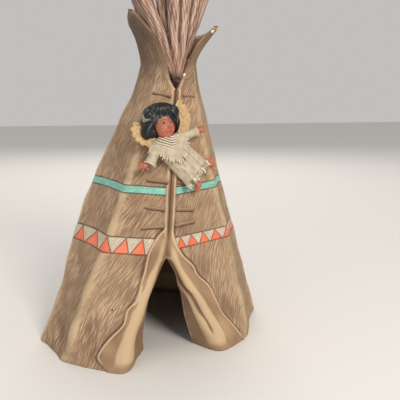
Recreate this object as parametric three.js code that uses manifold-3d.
// Ceramic teepee figurine with a small winged child fixed on its front.
// Millimetres, +Z up. The door looks along -Y, and the origin is the middle of the base, on the ground.
import * as THREE from 'three';
import * as BufferGeometryUtils from 'three/addons/utils/BufferGeometryUtils.js';
import Module from 'manifold-3d';

const wasm = await Module();
wasm.setup();

// Heights of the cover, from the ground up.
const DOOR_APEX = 54;
const SEAM_FOOT = 69;
const V_FOOT = 145;
const NECK_HEIGHT = 160;
const LEFT_TIP_HEIGHT = 190.5;
const RIGHT_TIP_HEIGHT = 182.5;
const COLLAR_BACK_HEIGHT = 178;

// Wall of the casting, the thinner edge of the smoke flaps, and the glue line between the two castings.
const WALL = 4.5;
const FLAP_THICKNESS = 3;
const GLUE_GAP = 0.37;

// The neck, where the cover gathers round the tent poles.
const NECK = { x: 11.3, y: 2 };
const NECK_RADIUS = 17.4;

// The lacing seam: half its width, its groove, and its lean from foot to top.
const SEAM_HALF_WIDTH = 1.8;
const SEAM_GROOVE = 1.4;
const seamX = (z) => 0.4 + 0.1406 * (z - SEAM_FOOT);
const seamY = (z) => -66 + 0.334 * z;

// How far a panel sags in between two ridges, as cloth does between its poles.
const PANEL_SAG = 1.2;

// Each tent pole pushes a ridge into the cover. A ridge has its angle at the neck, and stations of
// height, x and y, in order from the front left round the back to the front right.
const RIDGES = [
  {
    neck: 238,
    stations: [
      [0, -59.6, -43.8], [30, -47.8, -38.4], [64, -32, -33.9], [93, -20.5, -27.4], [125, -7.8, -18.2],
    ],
  },
  {
    neck: 178,
    stations: [
      [0, -70.9, -8], [24, -60, -3], [64, -47, 8], [93, -35.6, 9.5], [125, -20.6, 6], [150, -8.6, 4],
    ],
  },
  { neck: 138, stations: [[0, -46, 47], [64, -24, 35], [100, -12, 26]] },
  { neck: 92, stations: [[0, 9, 68], [64, 11, 43.5], [100, 12, 31.5]] },
  { neck: 48, stations: [[0, 54, 45], [64, 40, 29], [100, 32, 21]] },
  {
    neck: 0,
    stations: [
      [0, 71.1, 8], [30, 62, 3.5], [64, 51.6, -1.5], [95, 42.6, -2.5], [125, 35.8, -1.5], [150, 29.4, 0],
    ],
  },
  {
    neck: -44,
    stations: [[0, 49.9, -36.8], [30, 45.8, -31.5], [64, 39.5, -27], [95, 31.5, -23], [125, 27, -16.5]],
  },
];
const LAST_LEFT_RIDGE = 3;
const RIDGE_ROUNDING = [[0, 5], [100, 5], [150, 3], [160, 2]];

// The two door legs: the rounded toe in front, and the free end of the jamb that turns in.
const LEFT_TOE = [
  [0, -29, -70.5], [12, -25, -65], [25, -19.5, -59.5], [40, -12.5, -53.5], [54, -6, -48.8], [69, -1.4, -43],
];
const RIGHT_TOE = [
  [0, 26.5, -57.5], [12, 21.5, -56.5], [25, 15.5, -54.5], [40, 8, -51.5], [54, 2.6, -47.8], [69, 2.2, -43],
];
const LEFT_JAMB = [
  [0, -14.7, -40.1], [14, -14.3, -40.6], [28, -11.4, -41.4], [42, -6.6, -42.2], [54, -1.4, -43],
];
const RIGHT_JAMB = [
  [0, 15.2, -37.6], [14, 10.9, -39], [28, 7.6, -40.5], [42, 4.2, -41.9], [54, -1.4, -43],
];
const TOE_ROUNDING = [[0, 9], [25, 7], [54, 3.5], [69, 0.8]];

// The smoke flaps by height: the angle of each front edge round the neck, and how far the collar flares.
const LEFT_EDGE_ANGLE = [
  [145, 269.5], [153, 259], [161.6, 252], [167.8, 245], [174, 234], [180, 224], [191, 199],
];
const RIGHT_EDGE_ANGLE = [
  [145, -89.5], [150.4, -81], [158, -65], [164, -51], [173, -42], [183, -24],
];
const LEFT_FLARE = [[150, 17.4], [162, 17.4], [168, 18.2], [175, 20.2], [183, 23.6], [191, 27.2]];
const RIGHT_FLARE = [[150, 17.4], [162, 17.6], [167, 19.7], [174, 23.7], [183, 30.4]];
const EDGE_ROUNDING = 0.8;

// Rows of the cover's mesh up to the neck, rows of the collar, and steps along each panel and corner.
const COVER_ROWS = [
  0, 7, 15, 24, 34, 44, DOOR_APEX, 61.5, SEAM_FOOT, 80, 92, 105, 118, 131, 139, V_FOOT, 150, 155, NECK_HEIGHT,
];
const COLLAR_ROWS = 5;
const PANEL_STEPS = 3;
const CORNER_STEPS = 3;

// The tent poles, fused into one bundle that spreads like a fan: x and y where they meet in the neck,
// x and y high up, the radius there, and the height of the cut end.
const POLES_MEET = 158;
const POLES_SPREAD = 197.7;
const TENT_POLES = [
  { foot: [11, -9.5], head: [-4.3, -3], radius: 4.9, top: 217 },
  { foot: [12.5, -7], head: [7.4, 3], radius: 3.4, top: 214 },
  { foot: [13, -11], head: [13, -6], radius: 4.5, top: 222 },
  { foot: [14, -11], head: [19.6, -6], radius: 4.6, top: 223 },
  { foot: [14.5, -9.5], head: [26.6, -3.5], radius: 4.3, top: 219 },
  { foot: [14.5, -7], head: [31.4, 1], radius: 4, top: 215 },
  { foot: [6, 6], head: [-4, 11], radius: 4.7, top: 213 },
  { foot: [12, 10.5], head: [12, 15], radius: 5, top: 219 },
  { foot: [17, 7], head: [25, 12.5], radius: 4.8, top: 216 },
  { foot: [12.5, 0], head: [16, 5], radius: 6, top: 211 },
];
const POLE_SIDES = 10;
const POLE_FOOT_SHARE = 0.72;
const POLE_TIP_SHARE = 1.08;
const POLE_ROOT_DEPTH = 6;
const BUNDLE_CORE = [[146, 14.6], [159, 14.6], [166, 13.6], [174, 12], [184, 8.5]];

// The lacing pins: small round sticks half sunk in the cover, a left and a right one at each height.
const PIN_RADIUS = 1;
const PIN_SIDES = 6;
const PIN_SUNK = 0.3;
const PIN_ROWS = [
  { height: 141.5, left: [-2.4, 7.4], right: [13.6, 20.6] },
  { height: 94, left: [-11.6, 1.6], right: [7.4, 14] },
  { height: 80.4, left: [-14.2, -0.9], right: [6, 16.6] },
  { height: 71.2, left: [-16, -1.6], right: [5, 17.2] },
];

const degrees = THREE.MathUtils.degToRad;
const clamp = THREE.MathUtils.clamp;
const lerp = THREE.MathUtils.lerp;

// A smooth curve through stations, whose first number is the height, read in one of the other columns.
function along(stations, z, column = 1) {
  const last = stations.length - 1;
  if (z <= stations[0][0]) return stations[0][column];
  if (z >= stations[last][0]) return stations[last][column];
  let i = 0;
  while (z > stations[i + 1][0]) i += 1;
  const slope = (k) => {
    const before = stations[Math.max(k - 1, 0)];
    const after = stations[Math.min(k + 1, last)];
    return (after[column] - before[column]) / (after[0] - before[0]);
  };
  const step = stations[i + 1][0] - stations[i][0];
  const t = (z - stations[i][0]) / step;
  const t2 = t * t;
  const t3 = t2 * t;
  return (2 * t3 - 3 * t2 + 1) * stations[i][column] + (t3 - 2 * t2 + t) * slope(i) * step
    + (3 * t2 - 2 * t3) * stations[i + 1][column] + (t3 - t2) * slope(i + 1) * step;
}

function pointAt(stations, z) {
  return new THREE.Vector2(along(stations, z), along(stations, z, 2));
}

function roundNeck(angle, radius) {
  const turn = degrees(angle);
  return new THREE.Vector2(NECK.x + radius * Math.cos(turn), NECK.y + radius * Math.sin(turn));
}

// The edge of a smoke flap, or its inner face when it is thinned.
function flapEdge(onRight, z, thinned) {
  const angle = along(onRight ? RIGHT_EDGE_ANGLE : LEFT_EDGE_ANGLE, z);
  const flared = along(onRight ? RIGHT_FLARE : LEFT_FLARE, z);
  const seamRadius = Math.hypot(seamX(z) - NECK.x, seamY(z) - NECK.y);
  const radius = z < NECK_HEIGHT ? Math.max(seamRadius, NECK_RADIUS) : flared;
  return roundNeck(angle, radius - thinned);
}

// The ring of corners at one height, from the left jamb round the back to the right jamb.
function cornersAt(z) {
  const groove = new THREE.Vector2(seamX(z), seamY(z) + SEAM_GROOVE);
  let toes = [flapEdge(false, z, 0), flapEdge(true, z, 0)];
  let jambs = [flapEdge(false, z, FLAP_THICKNESS / 2), flapEdge(true, z, FLAP_THICKNESS / 2)];
  if (z < SEAM_FOOT) {
    const apex = pointAt(LEFT_JAMB, DOOR_APEX);
    const top = new THREE.Vector2(seamX(SEAM_FOOT), seamY(SEAM_FOOT) + SEAM_GROOVE);
    const closed = apex.clone().lerp(top, clamp((z - DOOR_APEX) / (SEAM_FOOT - DOOR_APEX), 0, 1));
    toes = [pointAt(LEFT_TOE, z), pointAt(RIGHT_TOE, z)];
    jambs = z < DOOR_APEX ? [pointAt(LEFT_JAMB, z), pointAt(RIGHT_JAMB, z)] : [closed, closed.clone()];
  } else if (z <= V_FOOT) {
    toes = [-1, 1].map((side) => new THREE.Vector2(seamX(z) + side * SEAM_HALF_WIDTH, seamY(z)));
    jambs = [groove, groove.clone()];
  }
  const rounding = z < SEAM_FOOT ? along(TOE_ROUNDING, z) : EDGE_ROUNDING;
  const ridges = RIDGES.map((ridge, i) => {
    if (z > NECK_HEIGHT) return collarCorner(ridge.neck, i > LAST_LEFT_RIDGE, z);
    const atNeck = roundNeck(ridge.neck, NECK_RADIUS);
    return pointAt([...ridge.stations, [NECK_HEIGHT, atNeck.x, atNeck.y]], z);
  });
  return [
    { at: jambs[0], rounding: 0 },
    { at: toes[0], rounding },
    ...ridges.map((at) => ({ at, rounding: along(RIDGE_ROUNDING, z) })),
    { at: toes[1], rounding },
    { at: jambs[1], rounding: 0 },
  ];
}

// Above the neck the corners draw together towards the back as the front edges open.
function collarCorner(angle, onRight, z) {
  const back = RIDGES[LAST_LEFT_RIDGE].neck;
  const edges = onRight ? RIGHT_EDGE_ANGLE : LEFT_EDGE_ANGLE;
  const share = (angle - back) / (along(edges, NECK_HEIGHT) - back);
  const flared = along(onRight ? RIGHT_FLARE : LEFT_FLARE, z);
  const other = along(onRight ? LEFT_FLARE : RIGHT_FLARE, z);
  const radius = lerp((flared + other) / 2, flared, Math.min(1, 2 * share));
  return roundNeck(back + share * (along(edges, z) - back), radius);
}

// The same ring moved in by the wall, for the inside of the casting.
function innerCornersAt(z) {
  const outer = cornersAt(z);
  const last = outer.length - 1;
  const inner = outer.map((corner) => ({ ...corner }));
  if (z > V_FOOT) {
    const thickness = z < NECK_HEIGHT ? WALL : FLAP_THICKNESS;
    outer.forEach(({ at }, i) => {
      const inwards = new THREE.Vector2(NECK.x - at.x, NECK.y - at.y).normalize();
      const move = i === 0 || i === last ? FLAP_THICKNESS / 2 : thickness;
      inner[i].at = at.clone().addScaledVector(inwards, move);
    });
    return inner;
  }
  for (let i = 1; i < last; i += 1) {
    const back = outer[i - 1].at.clone().sub(outer[i].at).normalize();
    const on = outer[i + 1].at.clone().sub(outer[i].at).normalize();
    const inwards = new THREE.Vector2(on.y - back.y, back.x - on.x).normalize();
    const isToe = i === 1 || i === last - 1;
    const narrowing = isToe ? Math.max(0.45, Math.sqrt((1 - back.dot(on)) / 2)) : 1;
    inner[i].at = outer[i].at.clone().addScaledVector(inwards, WALL / narrowing);
    inner[i].rounding = isToe ? 1 : outer[i].rounding * 0.7;
  }
  const opening = clamp((DOOR_APEX - z) / DOOR_APEX, 0, 1);
  const turnAway = degrees(90) * Math.min(1, 4 * opening);
  for (const [i, side] of [[0, -1], [last, 1]]) {
    inner[i].at = outer[i].at.clone();
    inner[i].at.x += side * WALL * Math.sin(turnAway);
    inner[i].at.y += WALL * Math.cos(turnAway);
  }
  return inner;
}

// One row of points along a ring of corners: straight panels that sag, and rounded corners.
function rowOf(corners, z) {
  const points = [corners[0].at.clone()];
  const last = corners.length - 1;
  const towardsNeck = clamp((z - 95) / 55, 0, 1);
  let from = corners[0].at.clone();
  for (let k = 1; k <= last; k += 1) {
    const { at, rounding } = corners[k];
    let enter = at.clone();
    let leave = at.clone();
    if (k < last) {
      const back = corners[k - 1].at.clone().sub(at);
      const on = corners[k + 1].at.clone().sub(at);
      const reach = Math.min(rounding, 0.45 * back.length(), 0.45 * on.length());
      enter = at.clone().addScaledVector(back.normalize(), reach);
      leave = at.clone().addScaledVector(on.normalize(), reach);
    }
    const panel = enter.clone().sub(from);
    const width = panel.length();
    const outwards = new THREE.Vector2(-panel.y, panel.x).divideScalar(Math.max(width, 1e-6));
    const isCover = k > 1 && k < last;
    const isFront = k === 2 || k === last - 1;
    const sag = isFront ? -0.3 : PANEL_SAG * Math.min(1, width / 30);
    const crown = NECK_RADIUS * (1 - Math.cos(Math.min(width / NECK_RADIUS, 2.5) / 2));
    const bow = isCover ? lerp(-sag, crown, towardsNeck) : 0;
    for (let i = 1; i <= PANEL_STEPS; i += 1) {
      const t = i / PANEL_STEPS;
      points.push(from.clone().addScaledVector(panel, t).addScaledVector(outwards, bow * 4 * t * (1 - t)));
    }
    if (k < last) {
      const curve = new THREE.QuadraticBezierCurve(enter, at, leave);
      for (let i = 1; i <= CORNER_STEPS; i += 1) points.push(curve.getPoint(i / CORNER_STEPS));
    }
    from = leave;
  }
  return points.map((p) => new THREE.Vector3(p.x, p.y, z));
}

// The rim of the collar: a tip at each side of the V, and a saddle at the back.
function rimHeight(share) {
  const tip = share < 0.5 ? LEFT_TIP_HEIGHT : RIGHT_TIP_HEIGHT;
  const toBack = Math.abs(share - 0.5) * 2;
  return lerp(COLLAR_BACK_HEIGHT, tip, THREE.MathUtils.smoothstep(toBack, 0.05, 0.55));
}

// All rows of one skin of the cover. Above the neck each column climbs to its own rim height.
function skin(cornersFor) {
  const rows = COVER_ROWS.map((z) => rowOf(cornersFor(z), z));
  const columns = rows[0].length;
  for (let k = 1; k <= COLLAR_ROWS; k += 1) {
    const row = [];
    for (let i = 0; i < columns; i += 1) {
      const z = lerp(NECK_HEIGHT, rimHeight(i / (columns - 1)), k / COLLAR_ROWS);
      row.push(rowOf(cornersFor(z), z)[i]);
    }
    rows.push(row);
  }
  return rows;
}

// A closed mesh from a list of corner points and triangles.
function meshOf(positions, triangles) {
  const geometry = new THREE.BufferGeometry();
  const numbers = positions.flatMap((p) => [p.x, p.y, p.z]);
  geometry.setAttribute('position', new THREE.Float32BufferAttribute(numbers, 3));
  geometry.setIndex(triangles.flat());
  return geometry;
}

// The cover is one sheet with thickness. It is slit below for the door and above for the smoke flaps,
// and in between, along the seam, its two edges are one.
function coverGeometry() {
  const outer = skin(cornersAt);
  const inner = skin(innerCornersAt);
  const rows = outer.length;
  const columns = outer[0].length;
  const positions = [];
  const index = [outer, inner].map((rowsOfSkin) => rowsOfSkin.map((row, j) => {
    const z = COVER_ROWS[j] ?? Infinity;
    const joined = z >= DOOR_APEX && z <= V_FOOT;
    const numbers = row.map((p, i) => {
      if (joined && i === columns - 1) return -1;
      positions.push(p);
      return positions.length - 1;
    });
    if (joined) numbers[columns - 1] = numbers[0];
    return numbers;
  }));
  const triangles = [];
  const quad = (a, b, c, d) => {
    if (a !== b) triangles.push([a, b, c]);
    if (c !== d) triangles.push([a, c, d]);
  };
  const [out, inn] = index;
  for (let j = 0; j < rows - 1; j += 1) {
    for (let i = 0; i < columns - 1; i += 1) {
      quad(out[j + 1][i], out[j + 1][i + 1], out[j][i + 1], out[j][i]);
      quad(inn[j][i], inn[j][i + 1], inn[j + 1][i + 1], inn[j + 1][i]);
    }
    const z = COVER_ROWS[j] ?? Infinity;
    const next = COVER_ROWS[j + 1] ?? Infinity;
    if (z >= DOOR_APEX && next <= V_FOOT) continue;
    const last = columns - 1;
    quad(out[j][0], inn[j][0], inn[j + 1][0], out[j + 1][0]);
    quad(out[j + 1][last], inn[j + 1][last], inn[j][last], out[j][last]);
  }
  for (let i = 0; i < columns - 1; i += 1) {
    quad(out[0][i], out[0][i + 1], inn[0][i + 1], inn[0][i]);
    quad(inn[rows - 1][i], inn[rows - 1][i + 1], out[rows - 1][i + 1], out[rows - 1][i]);
  }
  return meshOf(positions, triangles);
}

// The cover's outline filled and grown a little, to cut the back of the child so that it sits on the cover.
function coverFillGeometry(grow) {
  const heights = COVER_ROWS.filter((z) => z >= SEAM_FOOT);
  const rows = heights.map((z) => rowOf(cornersAt(z), z).slice(1, -1).map((p) => {
    const leaning = z / NECK_HEIGHT;
    const outwards = new THREE.Vector3(p.x - NECK.x * leaning, p.y - NECK.y * leaning, 0).normalize();
    return p.clone().addScaledVector(outwards, grow);
  }));
  const columns = rows[0].length;
  const positions = rows.flat();
  const triangles = [];
  const at = (j, i) => j * columns + (i % columns);
  for (let j = 0; j < rows.length - 1; j += 1) {
    for (let i = 0; i < columns; i += 1) {
      triangles.push([at(j + 1, i), at(j + 1, i + 1), at(j, i + 1)], [at(j + 1, i), at(j, i + 1), at(j, i)]);
    }
  }
  for (const [row, flip] of [[0, false], [rows.length - 1, true]]) {
    positions.push(new THREE.Vector3(seamX(heights[row]), 0, heights[row]));
    const middle = positions.length - 1;
    for (let i = 0; i < columns; i += 1) {
      const edge = [at(row, i), at(row, i + 1)];
      triangles.push(flip ? [middle, edge[1], edge[0]] : [middle, edge[0], edge[1]]);
    }
  }
  return meshOf(positions, triangles);
}

// Turns a closed geometry into a solid, at a place given by a matrix.
function solid(geometry, matrix = new THREE.Matrix4()) {
  const plain = geometry.clone().applyMatrix4(matrix);
  plain.deleteAttribute('normal');
  plain.deleteAttribute('uv');
  const merged = BufferGeometryUtils.mergeVertices(plain, 1e-4);
  const index = merged.index.array;
  const kept = [];
  for (let i = 0; i < index.length; i += 3) {
    const [a, b, c] = [index[i], index[i + 1], index[i + 2]];
    if (a !== b && b !== c && c !== a) kept.push(a, b, c);
  }
  return new wasm.Manifold(new wasm.Mesh({
    numProp: 3,
    vertProperties: Float32Array.from(merged.attributes.position.array),
    triVerts: Uint32Array.from(kept),
  }));
}

function geometryOf(body) {
  const { vertProperties, triVerts } = body.getMesh();
  const geometry = new THREE.BufferGeometry();
  geometry.setAttribute('position', new THREE.Float32BufferAttribute(vertProperties, 3));
  geometry.setIndex(Array.from(triVerts));
  geometry.computeVertexNormals();
  return geometry;
}

const joined = (bodies) => bodies.reduce((whole, body) => whole.add(body));

// A round stick from one point to another, thinner at its start when asked.
function stick(start, end, startRadius, endRadius, sides) {
  const length = start.distanceTo(end);
  const geometry = new THREE.CylinderGeometry(endRadius, startRadius, length, sides);
  const direction = end.clone().sub(start).normalize();
  const turn = new THREE.Quaternion().setFromUnitVectors(new THREE.Vector3(0, 1, 0), direction);
  const middle = start.clone().lerp(end, 0.5);
  return solid(geometry, new THREE.Matrix4().compose(middle, turn, new THREE.Vector3(1, 1, 1)));
}

// The bundle of tent poles on a core that fills the neck.
function poleBundle() {
  const profile = BUNDLE_CORE.map(([z, radius]) => new THREE.Vector2(radius, z));
  const first = BUNDLE_CORE[0];
  const last = BUNDLE_CORE[BUNDLE_CORE.length - 1];
  const outline = [new THREE.Vector2(0, first[0]), ...profile, new THREE.Vector2(0, last[0])];
  const upright = new THREE.Matrix4().makeRotationX(Math.PI / 2).setPosition(NECK.x, NECK.y, 0);
  const core = solid(new THREE.LatheGeometry(outline, 24), upright);
  const poles = TENT_POLES.map(({ foot, head, radius, top }) => {
    const at = (z) => {
      const t = (z - POLES_MEET) / (POLES_SPREAD - POLES_MEET);
      return new THREE.Vector3(lerp(foot[0], head[0], t), lerp(foot[1], head[1], t), z);
    };
    const root = at(POLES_MEET - POLE_ROOT_DEPTH);
    return stick(root, at(top), radius * POLE_FOOT_SHARE, radius * POLE_TIP_SHARE, POLE_SIDES);
  });
  return joined([core, ...poles]);
}

// Where the front of the cover is at a height and an x, near the seam.
function frontAt(x, z) {
  const row = rowOf(cornersAt(z), z);
  const half = Math.floor(row.length / 2);
  const side = x < seamX(z) ? row.slice(0, half) : row.slice(half).reverse();
  for (let i = 2; i < side.length - 1; i += 1) {
    const [a, b] = [side[i], side[i + 1]];
    if ((a.x - x) * (b.x - x) <= 0) return lerp(a.y, b.y, (x - a.x) / (b.x - a.x || 1));
  }
  return seamY(z);
}

function lacingPins() {
  return PIN_ROWS.flatMap(({ height, left, right }) => [left, right].map(([from, to]) => {
    const ends = [from, to].map((x) => new THREE.Vector3(x, frontAt(x, height) - PIN_SUNK, height));
    return stick(ends[0], ends[1], PIN_RADIUS, PIN_RADIUS, PIN_SIDES);
  }));
}

// The child's own frame: it starts on the seam behind it, with x to the right, y up the cover and z out.
const CHILD_HEIGHT = 120;
const childUp = new THREE.Vector3(0.1406, 0.334, 1).normalize();
const childAcross = new THREE.Vector3(1, 0, -0.1406).normalize();
const childOut = new THREE.Vector3().crossVectors(childAcross, childUp);
const childPlace = new THREE.Matrix4().makeBasis(childAcross, childUp, childOut)
  .setPosition(seamX(CHILD_HEIGHT), seamY(CHILD_HEIGHT), CHILD_HEIGHT);

// An egg-shaped lump in the child's frame, turned in the plane of the cover.
function lump(centre, size, turn = 0) {
  const place = new THREE.Matrix4().compose(
    new THREE.Vector3(...centre),
    new THREE.Quaternion().setFromAxisAngle(new THREE.Vector3(0, 0, 1), degrees(turn)),
    new THREE.Vector3(...size));
  return solid(new THREE.SphereGeometry(1, 12, 8), childPlace.clone().multiply(place));
}

// A limb in the child's frame, from one point to another.
function limb(from, to, fromRadius, toRadius) {
  const ends = [from, to].map((p) => new THREE.Vector3(...p).applyMatrix4(childPlace));
  return stick(ends[0], ends[1], fromRadius, toRadius, 12);
}

// The skirt widens from the waist to its hem. Each section runs from its left edge to its right edge
// across the child, as seen, with how far its middle stands out and half its depth.
const SKIRT = [
  { left: [-8, -13], right: [5, -4], out: 3.4, depth: 4.6 },
  { left: [0.5, -21], right: [12, -7], out: 3.6, depth: 5.2 },
  { left: [9.4, -30.4], right: [20.2, -11.2], out: 3, depth: 5.4 },
];
const SKIRT_SIDES = 24;
const SKIRT_FOLDS = 8;
const SKIRT_FOLD_DEPTH = 0.4;

function skirt() {
  const rings = SKIRT.map(({ left, right, out, depth }) => {
    const middle = new THREE.Vector3((left[0] + right[0]) / 2, (left[1] + right[1]) / 2, out);
    const across = new THREE.Vector3((right[0] - left[0]) / 2, (right[1] - left[1]) / 2, 0);
    return Array.from({ length: SKIRT_SIDES }, (_, i) => {
      const angle = (2 * Math.PI * i) / SKIRT_SIDES;
      const fold = SKIRT_FOLD_DEPTH * Math.cos(SKIRT_FOLDS * angle);
      const p = middle.clone().addScaledVector(across, Math.cos(angle) * (1 + fold / across.length()));
      p.z += (depth + fold) * Math.sin(angle);
      return p;
    });
  });
  const middles = [rings[0], rings[rings.length - 1]].map((ring) => ring
    .reduce((sum, p) => sum.add(p), new THREE.Vector3()).divideScalar(SKIRT_SIDES));
  const positions = [...rings.flat(), ...middles];
  const lastRing = (rings.length - 1) * SKIRT_SIDES;
  const triangles = [];
  for (let i = 0; i < SKIRT_SIDES; i += 1) {
    const next = (i + 1) % SKIRT_SIDES;
    for (let start = 0; start < lastRing; start += SKIRT_SIDES) {
      const [a, b, c, d] = [start + i, start + next, start + SKIRT_SIDES + next, start + SKIRT_SIDES + i];
      triangles.push([a, b, c], [a, c, d]);
    }
    triangles.push([positions.length - 2, next, i], [positions.length - 1, lastRing + i, lastRing + next]);
  }
  return solid(meshOf(positions, triangles), childPlace);
}

// A wing: a curved leaf of even thickness, from its root to its tip.
function wing(root, tip, belly, depth) {
  const shape = new THREE.Shape();
  shape.moveTo(root[0], root[1]);
  shape.quadraticCurveTo(belly[0][0], belly[0][1], tip[0], tip[1]);
  shape.quadraticCurveTo(belly[1][0], belly[1][1], root[0], root[1]);
  const geometry = new THREE.ExtrudeGeometry(shape, { depth, bevelEnabled: false, curveSegments: 8 });
  return solid(geometry, childPlace.clone().multiply(new THREE.Matrix4().makeTranslation(0, 0, -6)));
}

function childBody() {
  const hair = joined([
    lump([-10.2, 5.2, 4.6], [10, 9.6, 7.6]),
    lump([-15.2, -0.2, 3.6], [4.3, 6, 4.6], -15),
    lump([-0.9, 5.4, 4.6], [2.7, 6, 3.6], 15),
  ]);
  const face = lump([-8.2, 1.6, 6.2], [6.9, 7.6, 6], 17);
  const cape = lump([-3.4, -9.2, 3.6], [11.4, 7.4, 5.6], -20);
  const arms = joined([
    limb([-9.5, -8, 4], [-13.2, -17.2, 3.6], 4, 3.4),
    lump([-16, -19.4, 2.2], [3.6, 2.7, 2.4], 30),
    limb([2, -5.5, 4.4], [12, 2.4, 3.4], 4.2, 2.9),
    lump([14.2, 4.4, 3], [3.2, 2.9, 2.8], 30),
  ]);
  const feet = joined([
    limb([15, -15.5, 2.6], [21, -13.8, 1.2], 2.4, 2.2),
    lump([21.8, -13, 0.8], [2.3, 4.2, 2.6], 10),
    limb([11, -23, 3], [13.6, -27.4, 2.2], 2.6, 2.2),
    lump([14, -28.4, 2], [2.6, 3.8, 2.8], -25),
  ]);
  const wings = joined([
    wing([-7, -8], [-23.6, 6], [[-21, -14], [-14, 0]], 9),
    wing([2, -2], [2.4, 21.5], [[-2, 10], [14, 12]], 9),
  ]);
  return joined([hair, face, cape, skirt(), arms, feet, wings]);
}

// Materials of the two castings.
const bisque = new THREE.MeshStandardMaterial({ color: 0xa58a72, roughness: 0.85, metalness: 0 });
const creamGlaze = new THREE.MeshStandardMaterial({ color: 0xd8d0bd, roughness: 0.6, metalness: 0 });

function piece(name, body, material) {
  const mesh = new THREE.Mesh(geometryOf(body), material);
  mesh.name = name;
  return mesh;
}

const cover = solid(coverGeometry());
const teepeeBody = joined([cover, poleBundle(), ...lacingPins()]);
const seat = solid(coverFillGeometry(GLUE_GAP));
const teepee = piece('teepee', teepeeBody, bisque);
const child = piece('winged_child', childBody().subtract(seat), creamGlaze);

const figurine = new THREE.Group();
figurine.add(teepee, child);
export default figurine;
